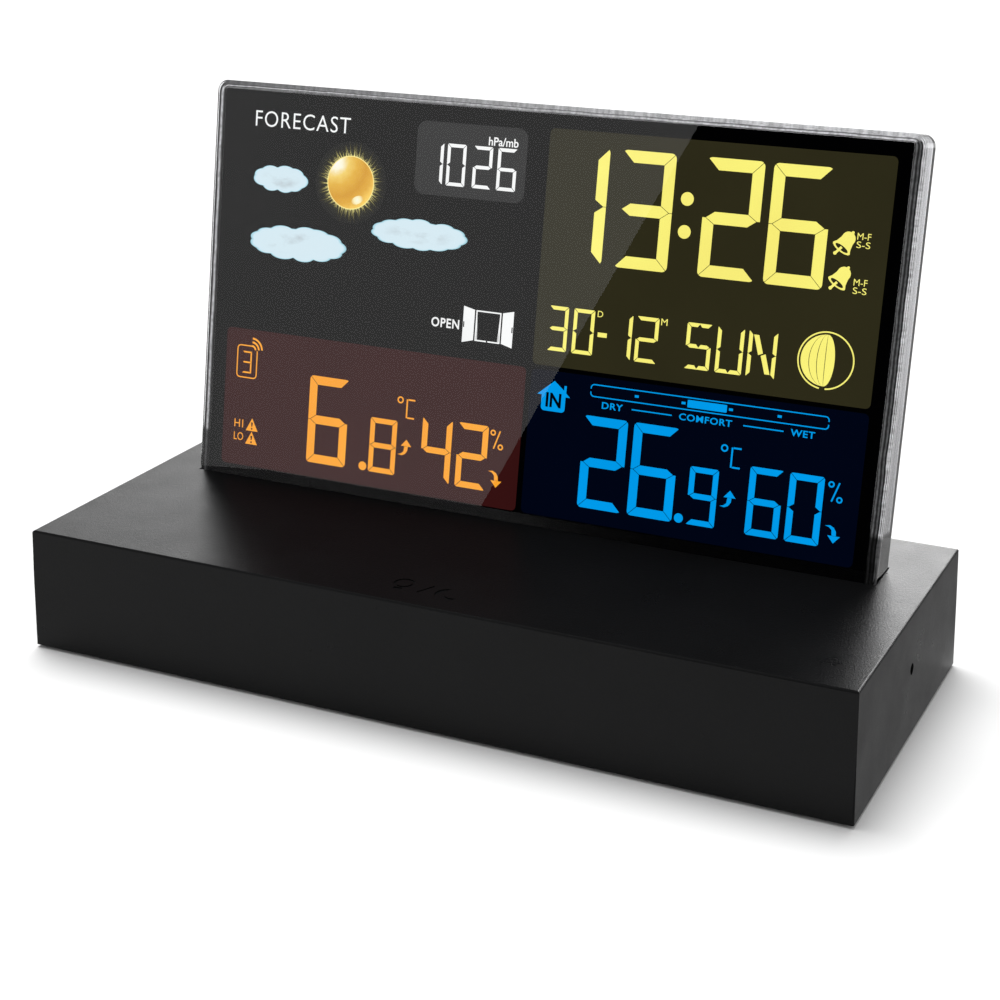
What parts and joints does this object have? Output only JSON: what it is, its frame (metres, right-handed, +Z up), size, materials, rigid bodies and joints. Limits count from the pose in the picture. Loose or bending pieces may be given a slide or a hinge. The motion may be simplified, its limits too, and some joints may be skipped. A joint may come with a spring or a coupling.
{
  "type": "home weather station",
  "caption": "Desktop weather station: a black block base with a leaning colour display in a clear surround, rear keys and a sliding battery door.",
  "frame": {"origin": "centre of the footprint, on the surface that the rubber feet stand on", "axes": "+X runs along the display's width, to the right as a reader sees it; +Y points to the back, away from the reader; +Z points up"},
  "size_m": [0.212, 0.0888, 0.1326],
  "materials": {
    "clear_acrylic": "polished clear",
    "black_print": "printed black",
    "display_glass": "polished",
    "film": "satin",
    "light_guide": "polished clear",
    "reflector": "satin white",
    "circuit_board": "solder mask",
    "led": "moulded",
    "inner_plastic": "moulded",
    "ribbon": "film",
    "steel_plate": "plain",
    "screw_steel": "plated",
    "case_plastic": "fine sparked texture",
    "foot_rubber": "matt",
    "cell_jacket": "gloss jacket",
    "spring_steel": "nickel plated",
    "chip_plastic": "moulded",
    "sensor_can": "plain",
    "copper": "enamelled",
    "ferrite": "fired",
    "key_plastic": "satin"
  },
  "bodies": {
    "base": {"front_lens": "clear_acrylic", "clear_housing": "clear_acrylic", "mask_film": "black_print", "lcd_front_glass": "display_glass", "lcd_rear_glass": "display_glass", "colour_filter_film": "film", "diffuser_sheet": "film", "light_guide": "light_guide", "reflector_sheet": "reflector", "backlight_board": "circuit_board", "backlight_leds": "led", "display_tray": "inner_plastic", "display_ribbon": "ribbon", "head_bracket": "steel_plate", "bracket_screws": "screw_steel", "base_case": "case_plastic", "bottom_plate": "case_plastic", "rubber_feet": "foot_rubber", "case_screws": "screw_steel", "board_screws": "screw_steel", "ballast_plates": "steel_plate", "battery_bay": "case_plastic", "battery_cells": "cell_jacket", "battery_contacts": "spring_steel", "battery_springs": "spring_steel", "main_board": "circuit_board", "controller_chip": "chip_plastic", "display_driver_chip": "chip_plastic", "pressure_sensor": "sensor_can", "radio_module": "circuit_board", "ribbon_socket": "inner_plastic", "radio_aerial": "copper", "ferrite_rod": "ferrite", "antenna_winding": "copper", "antenna_cradles": "inner_plastic", "climate_board": "circuit_board", "climate_sensor": "inner_plastic", "buzzer": "chip_plastic", "touch_electrode": "copper", "touch_spring": "spring_steel", "dc_jack": "chip_plastic", "key_board": "circuit_board", "tact_switches": "chip_plastic", "unit_switch_body": "chip_plastic"},
    "key_time": {"key_time": "key_plastic", "plunger_time": "chip_plastic"},
    "key_alarm": {"key_alarm": "key_plastic", "plunger_alarm": "chip_plastic"},
    "key_up": {"key_up": "key_plastic", "plunger_up": "chip_plastic"},
    "key_down": {"key_down": "key_plastic", "plunger_down": "chip_plastic"},
    "key_channel": {"key_channel": "key_plastic", "plunger_channel": "chip_plastic"},
    "key_memory": {"key_memory": "key_plastic", "plunger_memory": "chip_plastic"},
    "unit_switch": {"unit_switch_knob": "key_plastic"},
    "battery_door": {"battery_door": "case_plastic"}
  },
  "joints": [
    {"name": "key_time_press", "type": "slide", "parent": "base", "child": "key_time", "axis": [0, -1, 0], "range_m": [0, 0.0003], "stiffness_N_per_m": 500},
    {"name": "key_alarm_press", "type": "slide", "parent": "base", "child": "key_alarm", "axis": [0, -1, 0], "range_m": [0, 0.0003], "stiffness_N_per_m": 500},
    {"name": "key_up_press", "type": "slide", "parent": "base", "child": "key_up", "axis": [0, -1, 0], "range_m": [0, 0.0003], "stiffness_N_per_m": 500},
    {"name": "key_down_press", "type": "slide", "parent": "base", "child": "key_down", "axis": [0, -1, 0], "range_m": [0, 0.0003], "stiffness_N_per_m": 500},
    {"name": "key_channel_press", "type": "slide", "parent": "base", "child": "key_channel", "axis": [0, -1, 0], "range_m": [0, 0.0003], "stiffness_N_per_m": 500},
    {"name": "key_memory_press", "type": "slide", "parent": "base", "child": "key_memory", "axis": [0, -1, 0], "range_m": [0, 0.0003], "stiffness_N_per_m": 500},
    {"name": "unit_switch_slide", "type": "slide", "parent": "base", "child": "unit_switch", "axis": [1, 0, 0], "range_m": [0, 0.002]},
    {"name": "battery_door_slide", "type": "slide", "parent": "base", "child": "battery_door", "axis": [0, 1, 0], "range_m": [0, 0.03]}
  ]
}
